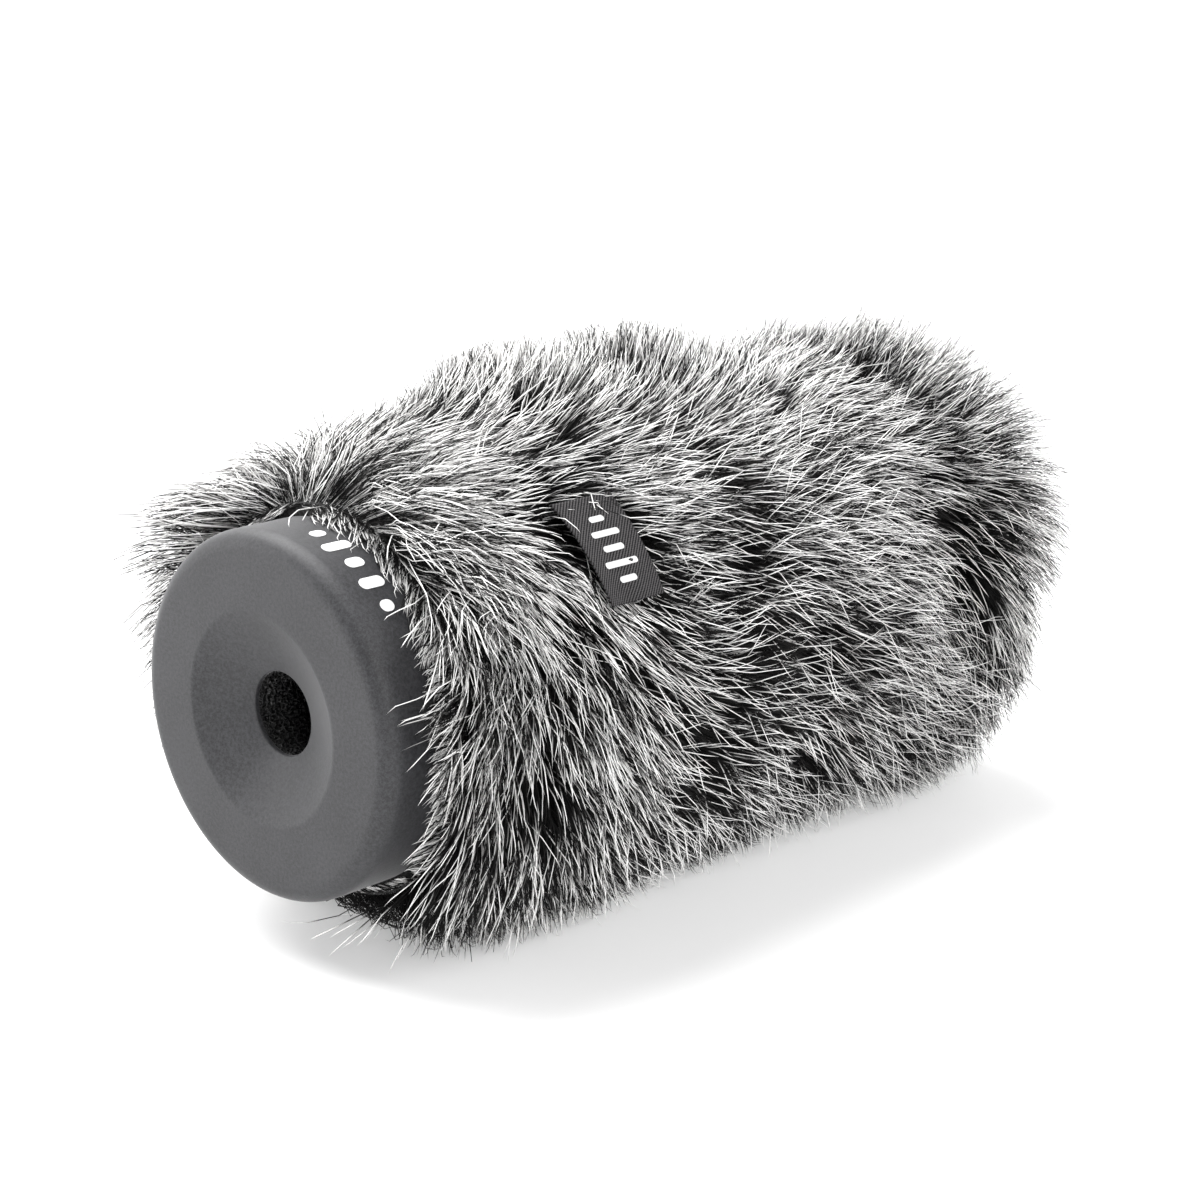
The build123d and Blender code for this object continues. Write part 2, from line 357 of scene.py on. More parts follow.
def pile_material():
    """Grizzled pile: near-black roots and pale tips.  u picks a fibre's tone, v runs root to tip."""
    s = Shader("pile")
    split = s.node("ShaderNodeSeparateXYZ")
    s.link(s.node("ShaderNodeUVMap", uv_map=PILE_UV).outputs["UV"], split.inputs[0])
    tone, along = split.outputs["X"], split.outputs["Y"]
    start = s.math("SUBTRACT", 0.73, s.math("MULTIPLY", tone, 0.2))
    pale = s.math("MULTIPLY", s.math("SUBTRACT", along, start), 6.0)
    pale = s.math("MAXIMUM", s.math("MINIMUM", pale, 1.0), 0.0)
    dark = s.ramp(tone, [(0.0, (0.003, 0.003, 0.003)), (1.0, (0.010, 0.0095, 0.0095))])
    tips = s.ramp(
        tone,
        [
            (0.0, (0.008, 0.0078, 0.0075)),
            (0.38, (0.02, 0.0195, 0.019)),
            (0.48, (0.45, 0.44, 0.435)),
            (0.58, (0.86, 0.85, 0.84)),
            (1.0, (0.96, 0.955, 0.945)),
        ],
    )
    mixed = s.node("ShaderNodeMix", data_type="RGBA")
    factor, first, second = (mixed.inputs[i] for i in (0, 6, 7))
    s.link(pale, factor)
    s.link(dark, first)
    s.link(tips, second)
    s.link(mixed.outputs[2], s.bsdf.inputs["Base Color"])
    s.set(Roughness=0.55, Specular_IOR_Level=0.1)
    return s.material


def stage_material(name, glow):
    """White studio surface with a little light of its own, as a lit sweep has."""
    s = Shader(name)
    s.link(s.ramp(s.noise(400, detail=1), [(0.3, 0.59), (0.7, 0.61)]), s.bsdf.inputs["Base Color"])
    s.set(Roughness=0.5, Specular_IOR_Level=0.1, Emission_Color=(1, 1, 1, 1), Emission_Strength=glow)
    return s.material


# ---- cap, foam and hidden pieces ------------------------------------------------
def make_cap(material):
    """Rubber cup with a dished face, a soft lip and a rounded rim."""
    face = cap_low[1]
    neck_end = cap_high[1]
    wall = 3.5
    band_end = HEM - 1.5
    corners = [
        (bore_radius, 0.0, 0.45),
        (22.8, face, 2.6),
        (CAP_RADIUS, face, 4.2),
        (CAP_RADIUS, band_end, 0.8),
        (CAP_RADIUS - 1.5, band_end, 0.4),
        (CAP_RADIUS - 1.5, neck_end, 0.5),
        (CAP_RADIUS - wall, neck_end, 0.5),
        (CAP_RADIUS - wall, face + wall, 0.8),
        (22.3, face + wall, 3.0),
        (bore_radius, 1.6, 0.6),
    ]
    cap = lathe("end_cap_rubber", refined(rounded(corners, 10), 2.0), 256, material)
    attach(cap, "root")
    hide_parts("end_cap")


def make_foam(material):
    """Foam sleeve, its bore wall broken up by open cells near the mouth."""
    cell = 1.4
    spigot = CAP_RADIUS - 3.8
    fine_end = 34.0
    front = 1.9
    turn = np.linspace(0, 2 * math.pi, 220, endpoint=False)
    deep = np.concatenate([np.arange(front, fine_end, 0.28), [60, 100, 140, 177.9]])
    y, a = np.meshgrid(deep, turn, indexing="ij")
    wall = np.stack([bore_radius * np.cos(a), y, bore_radius * np.sin(a)], axis=-1)
    seeds = np.random.default_rng(3)
    count = int(2 * math.pi * bore_radius * (fine_end - front) / cell**2 * 1.2)
    seed_a = seeds.uniform(0, 2 * math.pi, count)
    seed_y = seeds.uniform(front, fine_end, count)
    centres = np.stack([bore_radius * np.cos(seed_a), seed_y, bore_radius * np.sin(seed_a)], axis=-1)
    tree = kdtree.KDTree(count)
    for i, centre in enumerate(centres):
        tree.insert(centre, i)
    tree.balance()
    flat = wall.reshape(-1, 3)
    near = np.array([[hit[2] for hit in tree.find_n(point, 2)] for point in flat])
    edge = np.clip((near[:, 1] - near[:, 0]) / (0.5 * cell), 0, 1).reshape(y.shape)
    fade = np.clip((y - front) / 0.6, 0, 1) * np.clip((fine_end - y) / 4, 0, 1)
    sunk = bore_radius + 0.1 + 1.1 * edge**0.7 * fade
    bore = np.stack([sunk * np.cos(a), y, sunk * np.sin(a)], axis=-1)
    outer = [(FOAM_RADIUS, 177.9), (FOAM_RADIUS, END_SEAM + 0.3), (FOAM_RADIUS - 2.9, END_SEAM + 0.3)]
    outer += [(FOAM_RADIUS - 2.9, END_SEAM - 9.2), (FOAM_RADIUS, END_SEAM - 9.2), (FOAM_RADIUS, 30.5)]
    outer += [(spigot, 28.6), (spigot, -2.2), (22.3, -2.2)]
    cosine, sine = np.cos(turn), np.sin(turn)
    rings = [np.stack([r * cosine, np.full_like(turn, v), r * sine], axis=-1) for r, v in outer]
    verts = np.concatenate([bore.reshape(-1, 3), np.concatenate(rings)])
    faces = grid_faces(len(deep) + len(outer), len(turn), wrap_rows=True, wrap_columns=True)
    foam = mesh_piece("foam_core", verts, faces, material)
    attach(foam, "root")
    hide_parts("foam_sleeve")


def dress_cad_nodes(materials):
    """Give every carried-over node its own procedural material."""
    wanted = {entry["node"]: entry["material_slot"] for entry in frame["record"]["subparts"]}
    for node, slot in wanted.items():
        piece = frame["nodes"][node]
        piece = piece if hasattr(piece, "material_slots") else bpy.data.objects[node]
        if not piece.material_slots:
            piece.data.materials.append(materials[slot])
        for held in piece.material_slots:
            held.material = materials[slot]


# ---- backing of the cover --------------------------------------------------------
def cover_outline():
    """(radius, y) points every half millimetre along the outside of the backing."""
    hem_radius = binding_high[0] + 0.1
    shoulder = 9.8
    start = [(hem_radius - 0.6, HEM - 1.2), (hem_radius, HEM)]
    body = [(BACKING_RADIUS, HEM + 12), (BACKING_RADIUS, END_SEAM - 3), (BACKING_RADIUS - 1.2, END_SEAM)]
    body += [(BACKING_RADIUS + 2.5, END_SEAM + 6)]
    corner_centre = (BACKING_RADIUS + 2.5 - shoulder, FOAM_END + 6 - shoulder)
    corner = []
    for k in range(13):
        t = math.radians(90 * k / 12)
        corner.append((corner_centre[0] + shoulder * math.cos(t), corner_centre[1] + shoulder * math.sin(t)))
    points = np.array(start + body + corner + [(0.5, FOAM_END + 6)])
    steps = np.linalg.norm(np.diff(points, axis=0), axis=1)
    travel = np.concatenate([[0], np.cumsum(steps)])
    fine = np.arange(0, travel[-1], 0.5)
    radius = np.interp(fine, travel, points[:, 0])
    y = np.interp(fine, travel, points[:, 1])
    return fine, radius, y


TRAVEL, COVER_R, COVER_Y = cover_outline()
TANGENT_R = np.gradient(COVER_R, TRAVEL)
TANGENT_Y = np.gradient(COVER_Y, TRAVEL)
window = np.ones(9) / 9
TANGENT_R = np.convolve(np.pad(TANGENT_R, 4, mode="edge"), window, mode="valid")
TANGENT_Y = np.convolve(np.pad(TANGENT_Y, 4, mode="edge"), window, mode="valid")
SEAM_TRAVEL = float(np.interp(END_SEAM, COVER_Y, TRAVEL))


def cover_point(travel, around, height):
    """Point at a distance along the cover, an angle round it and a height off it."""
    radius = np.interp(travel, TRAVEL, COVER_R)
    y = np.interp(travel, TRAVEL, COVER_Y)
    tr = np.interp(travel, TRAVEL, TANGENT_R)
    ty = np.interp(travel, TRAVEL, TANGENT_Y)
    length = np.hypot(tr, ty)
    out_r, out_y = ty / length, -tr / length
    r = radius + height * out_r
    return np.stack([r * np.cos(around), y + height * out_y, r * np.sin(around)], axis=-1)


def cover_axes(travel, around):
    """Unit vectors along the cover, round it and out of it."""
    tr = np.interp(travel, TRAVEL, TANGENT_R)
    ty = np.interp(travel, TRAVEL, TANGENT_Y)
    size = np.hypot(tr, ty)
    tr, ty = tr / size, ty / size
    turn, rise = np.cos(around), np.sin(around)
    along = np.stack([tr * turn, ty, tr * rise], axis=-1)
    sideways = np.stack([-rise, np.zeros_like(turn), turn], axis=-1)
    out = np.stack([ty * turn, -tr, ty * rise], axis=-1)
    return along, sideways, out


def make_backing(material):
    """Knitted backing under the pile, one sheet for the sleeve and one for the end."""
    turn = np.linspace(0, 2 * math.pi, 160, endpoint=False)
    spans = {
        "sleeve_backing": (0.0, SEAM_TRAVEL - 0.4, "fur_sleeve"),
        "end_backing": (SEAM_TRAVEL + 0.4, TRAVEL[-1], "fur_end_panel"),
    }
    for name, (first, last, node) in spans.items():
        travel = np.linspace(first, last, 80)
        t, a = np.meshgrid(travel, turn, indexing="ij")
        rows = [cover_point(t, a, 0.0), cover_point(t, a, -1.1)[::-1]]
        for row in rows:
            low = row[..., 2] < FLOOR + 1
            row[..., 2] = np.where(low, FLOOR + 1, row[..., 2])
        verts = np.concatenate(rows).reshape(-1, 3)
        faces = grid_faces(2 * len(travel), len(turn), wrap_rows=True, wrap_columns=True)
        piece = mesh_piece(name, verts, faces, material)
        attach(piece, "root")
        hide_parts(node)


# ---- how the pile is combed ---------------------------------------------------------
# Strokes of a comb: (y, around, heading, standing).  y is in mm from the mouth, the angles are in
# degrees, and standing is 0 for pile laid flat, 1 for pile on end.
SLEEVE_STROKES = [
    # over the cap: swept round to the left, then a parting, then back towards the end
    (14, 66, -105, 0.2), (14, 80, -88, 0.2), (15, 92, -72, 0.2), (23, 76, -72, 0.25), (24, 92, -58, 0.25),
    (32, 84, -32, 0.3), (14, 99, 0, 0.6), (15, 108, 95, 0.2), (14, 120, 105, 0.65), (24, 106, 70, 0.3),
    (14, 140, 120, 0.7), (14, 162, 130, 0.5), (14, 186, 70, 0.2), (24, 112, 75, 0.4), (26, 150, 80, 0.45),
    # low on the far side it lies back, out of sight of the cap
    (14, 212, 20, 0.1), (14, 238, 0, 0.1), (16, 262, 0, 0.1), (32, 215, 0, 0.15), (32, 245, 0, 0.15),
    # on top, behind the cap, it turns over from the seam's side to the far side
    (34, 72, -28, 0.3), (44, 88, -4, 0.5), (38, 106, 35, 0.6),
    # beside the cap, between the seam and the floor: down and forward over the rim
    (14, 58, -20, 0.25), (16, 49, -35, 0.35), (14, 38, -120, 0.4), (14, 22, -148, 0.4), (14, 5, -152, 0.45),
    (14, -15, -150, 0.5), (14, -34, -128, 0.45), (14, -58, -65, 0.2), (16, -82, -25, 0.15),
    (16, -106, -10, 0.15), (28, -58, -50, 0.3),
    (26, 30, -92, 0.35), (26, 8, -102, 0.35), (24, -12, -98, 0.4), (26, -32, -75, 0.5),
    # along the seam, from the cap to the label
    (30, 42, -88, 0.4), (42, 43, -92, 0.4), (46, 58, -45, 0.5), (34, 66, -8, 0.35), (40, 80, 10, 0.5),
    (62, 68, -32, 0.3), (58, 88, 35, 1.0), (76, 92, 60, 1.3), (68, 50, -15, 0.3),
    # the side, below the label
    (38, 12, -85, 0.35), (46, -10, -60, 0.35), (40, -34, -55, 0.5), (50, 16, -92, 0.4), (58, 4, -70, 0.35),
    (70, 4, 12, 0.35), (80, 4, -14, 0.3), (66, -18, -36, 0.3), (66, 14, 25, 0.4),
    (66, -42, -48, 0.5), (72, 22, -55, 0.35), (76, 36, -85, 0.35), (86, 27, -35, 0.3), (88, 0, -30, 0.25),
    (108, -40, -38, 0.5), (112, 18, -36, 0.25), (134, 4, -24, 0.25), (138, -45, -36, 0.5),
    # the top, towards the end
    (92, 40, 5, 0.25), (98, 66, -15, 0.3), (98, 88, 40, 1.3), (114, 52, 6, 0.25), (122, 92, 55, 1.2),
    (136, 64, -12, 0.25), (134, 38, -8, 0.25), (140, 88, 12, 0.3), (156, 74, 5, 0.25),
    (158, 50, 2, 0.35), (158, 98, 5, 0.15), (160, 130, 0, 0.2),
    # the end of the sleeve, where the pile turns down into the end seam
    (128, 24, -28, 0.25), (146, 30, -60, 0.25), (152, 22, -95, 0.25), (160, 12, -110, 0.2),
    (148, 8, -42, 0.25), (154, -8, -34, 0.3), (158, -34, -25, 0.5), (156, -60, -36, 0.5),
]
PANEL_STROKES = [
    (171, 8, -80, 0.3), (172, 30, -20, 0.5), (176, 46, 0, 0.75), (174, 66, 0, 0.6), (184, 46, 0, 0.95),
    (184, 18, -84, 0.3), (186, 2, -86, 0.45), (184, -20, -60, 0.6), (188, 64, 5, 0.9), (178, 92, 5, 0.15),
    (186, -45, -40, 0.45), (194, 48, 175, 0.8), (194, 68, 175, 0.8), (194, 15, -88, 0.3), (186, 92, 0, 0.2),
    (186, 130, 0, 0.3), (186, 180, 0, 0.5), (186, 230, 0, 0.4),
]
# Places where the pile is longer and makes a tuft (y, around, radius).
TUFTS = [(176, 40, 12.0), (188, 34, 8.0), (66, 96, 9.0), (104, 94, 9.0), (20, 128, 9.0), (150, -30, 9.0)]
# Places where it lies flat, and where fewer of its tips are pale: partly uneven dark patches in the grizzle,
# partly painted shade on the side below the label and in the recess at the end seam (y, around, radius).
LAID = [(184, 8, 9.0)]
PATCHY_AND_SHADED = [(80, 8, 17.0), (76, -34, 17.0), (100, -36, 14.0), (160, 24, 7.0), (166, 8, 8.0)]
# Places where the pile parts and shows its dark roots: (y, around, radius).
PARTINGS = [
    (38, 56, 7.0), (88, 84, 5.0), (70, 24, 5.0), (80, 33, 4.0), (34, 33, 3.5), (156, 27, 5.0),
    (162, 17, 6.0), (166, 6, 4.5), (60, -8, 4.5), (96, 8, 4.0),
    (118, 66, 3.5), (50, 74, 3.5), (104, -22, 5.0),
    (26, -2, 4.0), (60, 150, 4.0), (110, 200, 4.5), (40, 215, 3.5), (140, 160, 4.0), (90, 120, 3.5),
]
# Places where the pile is tousled and lies every way (y, around, radius).
TOUSLED = [
    (67, 30, 11.0), (80, 30, 9.0), (22, 58, 6.0), (34, 62, 6.0), (90, 74, 7.0), (108, 30, 8.0),
    (52, -22, 8.0), (120, -8, 7.0), (150, 44, 6.0), (182, 20, 8.0),
    (80, 140, 9.0), (130, 190, 9.0), (180, 160, 9.0),
]
STROKE_REACH = 9.5
PANEL_GUARD = 14.0  # how much further a stroke seems across the lengthwise seam


def comb_field():
    """Heading vector and standing on a lattice over the cover."""
    travel = np.arange(0, TRAVEL[-1] + 2, 2.0)
    around = np.radians(np.arange(0, 361, 3.0))
    t, a = np.meshgrid(travel, around, indexing="ij")
    y = np.interp(t, TRAVEL, COVER_Y)
    radius = np.interp(t, TRAVEL, COVER_R)
    on_sleeve = t < SEAM_TRAVEL
    tr = np.interp(t, TRAVEL, TANGENT_R)
    ty = np.interp(t, TRAVEL, TANGENT_Y)
    # away from the strokes the sleeve's pile lies back and hangs down, and the end's hangs straight down
    along = np.where(on_sleeve, 0.8, -tr * np.sin(a) + 0.6 * ty)
    sideways = np.where(on_sleeve, -0.6, -1.0) * np.cos(a)
    total = np.full_like(t, 0.12)
    along, sideways, standing = along * total, sideways * total, 0.45 * total
    upper = (np.degrees(a) > SEAM_AROUND) & (np.degrees(a) < 230)
    for strokes, here in ((SLEEVE_STROKES, on_sleeve), (PANEL_STROKES, ~on_sleeve)):
        for stroke_y, stroke_around, heading, stand in strokes:
            off = np.angle(np.exp(1j * (a - math.radians(stroke_around))))
            span = np.hypot(y - stroke_y, radius * off)
            across_seam = upper != (SEAM_AROUND < stroke_around < 230)
            span = span + PANEL_GUARD * across_seam * (y < 60)
            weight = np.exp(-0.5 * (span / STROKE_REACH) ** 2) * here
            along = along + weight * math.cos(math.radians(heading))
            sideways = sideways + weight * math.sin(math.radians(heading))
            standing = standing + weight * stand
            total = total + weight
    size = np.hypot(along, sideways) + 1e-6
    return np.stack([along / size, sideways / size, standing / total], axis=-1)


FIELD = comb_field()


def combed(travel, around):
    """Heading vector and standing of the pile at places on the cover."""
    row = np.clip(travel / 2.0, 0, FIELD.shape[0] - 1.001)
    column = np.mod(np.degrees(around), 360) / 3.0
    i, j = row.astype(int), column.astype(int)
    u, v = (row - i)[..., None], (column - j)[..., None]
    top = FIELD[i, j] * (1 - v) + FIELD[i, j + 1] * v
    bottom = FIELD[i + 1, j] * (1 - v) + FIELD[i + 1, j + 1] * v
    return top * (1 - u) + bottom * u


# ---- growing the pile ------------------------------------------------------------------
STRAND_STEPS = 10
GIVE_ALONG, GIVE_ROUND = 0.35, 0.6  # how far a strand bends with the cover; 0 would be straight


def even_roots(count, seed):
    """Roots spread evenly over the cover, by a low-discrepancy sequence."""
    area = np.cumsum(COVER_R)
    area = area / area[-1]
    golden = 1.32471795724474602596
    index = np.arange(count) + 1000 * seed
    first = np.mod(0.5 + index / golden, 1)
    second = np.mod(0.5 + index / golden**2, 1)
    return np.interp(first, area, TRAVEL), 2 * math.pi * second


def nearness(y, around, spot_y, spot_around, radius):
    """Unit steps from a spot on the cover, and a weight that is 1 there and fades with distance."""
    off = np.angle(np.exp(1j * (around - math.radians(spot_around))))
    step = np.stack([y - spot_y, BACKING_RADIUS * off], axis=-1)
    span = np.linalg.norm(step, axis=-1) + 1e-6
    return step / span[:, None], np.exp(-0.5 * (span / radius) ** 2)


def parted(travel, around):
    """Vector away from the nearest partings, and how far inside one each place is."""
    y = np.interp(travel, TRAVEL, COVER_Y)
    away = np.zeros((len(travel), 2))
    gap = np.zeros(len(travel))
    for parting_y, parting_around, radius in PARTINGS:
        step, weight = nearness(y, around, parting_y, parting_around, radius)
        away += 1.6 * weight[:, None] * step
        gap = np.maximum(gap, weight)
    return away, gap


def amount(spots, travel, around):
    """How far each place on the cover lies within the listed spots, 0 to 1."""
    y = np.interp(travel, TRAVEL, COVER_Y)
    return np.max([nearness(y, around, *spot)[1] for spot in spots], axis=0)


def grow(travel, around, length, standing_extra, swing, seed, root_rise=72.0, droop=4.0, forward_pull=None):
    """Paths of strands in space, strand x step x 3.  They follow the comb but not every curve under it."""
    count = len(travel)
    root_travel, root_around = travel, around
    noise_at = cover_point(travel, around, 0.0)
    broad = value_noise(noise_at, 16.0, seed, 3)
    fine = value_noise(noise_at, 6.0, seed + 1, 3)
    kinks = np.random.default_rng(seed + 2).normal(0, 0.5, (count, 2))
    field = combed(travel, around)
    away = parted(travel, around)[0]
    ahead = field[:, 0] + away[:, 0]
    if forward_pull is not None:
        ahead = np.minimum(ahead, 0.3) - forward_pull
    heading = np.arctan2(field[:, 1] + away[:, 1], ahead)
    heading = heading + swing + 0.5 * broad[:, 0] + 0.42 * fine[:, 0]
    standing = np.clip(field[:, 2] + standing_extra + 0.25 * broad[:, 1] + 0.15 * fine[:, 1], 0.0, 1.4)
    bend = 0.5 * broad[:, 2] + kinks[:, 0]
    step = length / STRAND_STEPS
    tip_rise = -droop + 52 * standing
    points = np.empty((count, STRAND_STEPS + 1, 3))
    points[:, 0] = cover_point(travel, around, -0.3)
    for k in range(STRAND_STEPS):
        s = (k + 0.5) / STRAND_STEPS
        here = combed(travel, around)
        flow = np.arctan2(here[:, 1], here[:, 0])
        drift = np.angle(np.exp(1j * (flow - heading)))
        curl = bend + 2.2 * kinks[:, 1] * math.cos(2 * math.pi * s)
        heading = heading + 0.10 * drift + curl / STRAND_STEPS
        rise = np.radians(root_rise + (tip_rise - root_rise) * s**0.75)
        lagging_travel = root_travel + GIVE_ALONG * (travel - root_travel)
        lagging_around = root_around + GIVE_ROUND * (around - root_around)
        along, sideways, out = cover_axes(lagging_travel, lagging_around)
        forward = (step * np.cos(rise) * np.cos(heading))[:, None]
        across = (step * np.cos(rise) * np.sin(heading))[:, None]
        up = (step * np.sin(rise))[:, None]
        points[:, k + 1] = points[:, k] + forward * along + across * sideways + up * out
        radius = np.interp(travel, TRAVEL, COVER_R) + 6.0
        travel = np.clip(travel + forward[:, 0], 0, TRAVEL[-1] - 1)
        around = around + across[:, 0] / radius
    return points


def settle(points, stray):
    """Keep strands off the cap, off the label and above the floor."""
    radius = np.hypot(points[..., 0], points[..., 2])
    around = np.degrees(np.arctan2(points[..., 2], points[..., 0]))
    y = points[..., 1]
    lowest = np.where(y < HEM + 1, CAP_RADIUS + 0.5, 0)
    # the label lies on the pile, which keeps under it and off its edge towards the mouth
    hung = np.clip((SEAM_AROUND - around) / (SEAM_AROUND - LABEL_TIP_AROUND), 0, 1)
    across = y - LABEL_MIDDLE + LABEL_LEAN * hung
    past_edge = np.maximum(-LABEL_WIDTH / 2 - 1.0 - across, across - LABEL_WIDTH / 2 - 0.3)
    past_end = np.radians(np.maximum(LABEL_TIP_AROUND - 1 - around, around - SEAM_AROUND + 6)) * LABEL_RADIUS
    outside = np.maximum(np.maximum(past_edge, past_end), 0)
    # a few strays rooted beside the label lie across it
    over = (stray & (outside[:, 0] > 3))[:, None]
    ceiling = np.where(over, 1e3, LABEL_RADIUS - 1.6 + 1.1 * outside)
    lowest = np.maximum(lowest, np.where(over & (outside < 7), LABEL_RADIUS + 2.8 - 0.9 * outside, 0))
    loft = PILE_RADIUS + 8
    trimmed = np.where(radius > loft, loft + 0.3 * (radius - loft), radius)
    wanted = np.minimum(np.maximum(trimmed, lowest), ceiling)
    scale = wanted / np.maximum(radius, 1e-6)
    points[..., 0] *= scale
    points[..., 2] *= scale
    # the floor turns strands outwards and flattens them
    depth = np.maximum(FLOOR + 0.5 - points[..., 2], 0)
    points[..., 0] += 0.25 * depth * np.sign(points[..., 0])
    layer = 0.2 + 1.6 * np.mod(np.arange(len(points)) * 0.618, 1)[:, None]
    points[..., 2] = np.where(depth > 0, FLOOR + layer * np.exp(-depth / 6), points[..., 2])
    return points


def strand_mesh(name, points, width, tone, show, rings, material):
    """Closed three-sided tapering strands through the chosen rings of their paths."""
    marks = points[:, rings]
    count, levels = marks.shape[:2]
    direction = np.gradient(marks, axis=1)
    direction /= np.linalg.norm(direction, axis=-1, keepdims=True) + 1e-9
    reference = np.where(np.abs(direction[..., 2:]) < 0.9, [0.0, 0.0, 1.0], [1.0, 0.0, 0.0])
    side = np.cross(direction, reference)
    side /= np.linalg.norm(side, axis=-1, keepdims=True)
    other = np.cross(direction, side)
    along = np.array(rings) / (points.shape[1] - 1)
    taper = np.minimum(1.0, 0.7 + 1.2 * along) * np.clip((1.1 - along) / 0.3, 0, 1) ** 0.6
    ring_radius = width[:, None] * taper[None, :] / 2
    body = levels - 1
    corners = []
    for k in range(3):
        angle = 2 * math.pi * k / 3
        offset = side * math.cos(angle) + other * math.sin(angle)
        corners.append(marks[:, :body] + offset[:, :body] * ring_radius[:, :body, None])
    verts = np.stack(corners, axis=2).reshape(count, body * 3, 3)
    verts = np.concatenate([verts, marks[:, -1:]], axis=1)
    per_strand = body * 3 + 1
    pattern = [(2, 1, 0)]
    for level in range(body - 1):
        for k in range(3):
            a, b = level * 3 + k, level * 3 + (k + 1) % 3
            pattern += [(a, b, b + 3), (a, b + 3, a + 3)]
    top = (body - 1) * 3
    pattern += [(top + k, top + (k + 1) % 3, per_strand - 1) for k in range(3)]
    pattern = np.array(pattern)
    faces = (pattern[None] + per_strand * np.arange(count)[:, None, None]).reshape(-1, 3)
    mesh = bpy.data.meshes.new(name)
    mesh.vertices.add(count * per_strand)
    mesh.vertices.foreach_set("co", (verts * MM).astype(np.float32).ravel())
    mesh.loops.add(len(faces) * 3)
    mesh.loops.foreach_set("vertex_index", faces.astype(np.int32).ravel())
    mesh.polygons.add(len(faces))
    mesh.polygons.foreach_set("loop_start", np.arange(0, len(faces) * 3, 3, dtype=np.int32))
    mesh.update(calc_edges=True)
    mesh.polygons.foreach_set("use_smooth", np.ones(len(faces), dtype=bool))
    # u is the strand's tone, v its distance from the root; show lifts v so the root comes out pale, which by
    # the hem is painted light over the shade at the cap
    vert_v = np.concatenate([np.repeat(along[:body], 3), [1.0]])
    vert_v = (show[:, None] + (1 - show[:, None]) * vert_v).ravel()
    vert_u = np.repeat(tone, per_strand)
    sheet = mesh.uv_layers.new(name=PILE_UV)
    flat = faces.ravel()
    uv = np.stack([vert_u[flat], vert_v[flat]], axis=-1) * 0.98 + 0.01
    sheet.data.foreach_set("uv", uv.astype(np.float32).ravel())
    piece = bpy.data.objects.new(name, mesh)
    bpy.context.scene.collection.objects.link(piece)
    mesh.materials.append(material)
    return piece


def lock_leaders(count, seed):
    """The leading strand of each lock of pile."""
    draw = np.random.default_rng(seed)
    travel, around = even_roots(count, seed)
    length = draw.uniform(20, 27, count)
    length = length * (1 + 0.36 * amount(TUFTS, travel, around))
    messy = amount(TOUSLED, travel, around)
    swing = draw.normal(0, 0.46, count) * (1 + 1.4 * messy)
    standing = draw.normal(0, 0.18, count) + 0.25 * messy
    return grow(travel, around, length, standing, swing, seed)


def gather(points, leaders, pull):
    """Lean each strand towards the leader of its lock, most at the tip; also how far off it stands."""
    tree = kdtree.KDTree(len(leaders))
    for i, root in enumerate(leaders[:, 0]):
        tree.insert(root, i)
    tree.balance()
    roots = points[:, :1]
    found = [tree.find(root) for root in roots[:, 0]]
    leader = leaders[[hit[1] for hit in found]]
    s = np.linspace(0, 1, STRAND_STEPS + 1)[None, :, None]
    gathered = leader - leader[:, :1] + (leader[:, :1] - roots) * s**0.8 * 0.8
    reach = np.linalg.norm(points - roots, axis=-1, keepdims=True)
    reach = reach / (np.linalg.norm(gathered, axis=-1, keepdims=True) + 1e-6)
    gathered = roots + gathered * np.minimum(reach, 1.15)
    moved = points + (gathered - points) * pull[:, None, None] * np.minimum(1, 1.4 * s)
    return moved, np.array([hit[2] for hit in found])


GUARD_RINGS = [0, 4, 7, 9, 10]
UNDER_RINGS = [0, 5, 10]
FRINGE_RINGS = [0, 4, 8, 10]


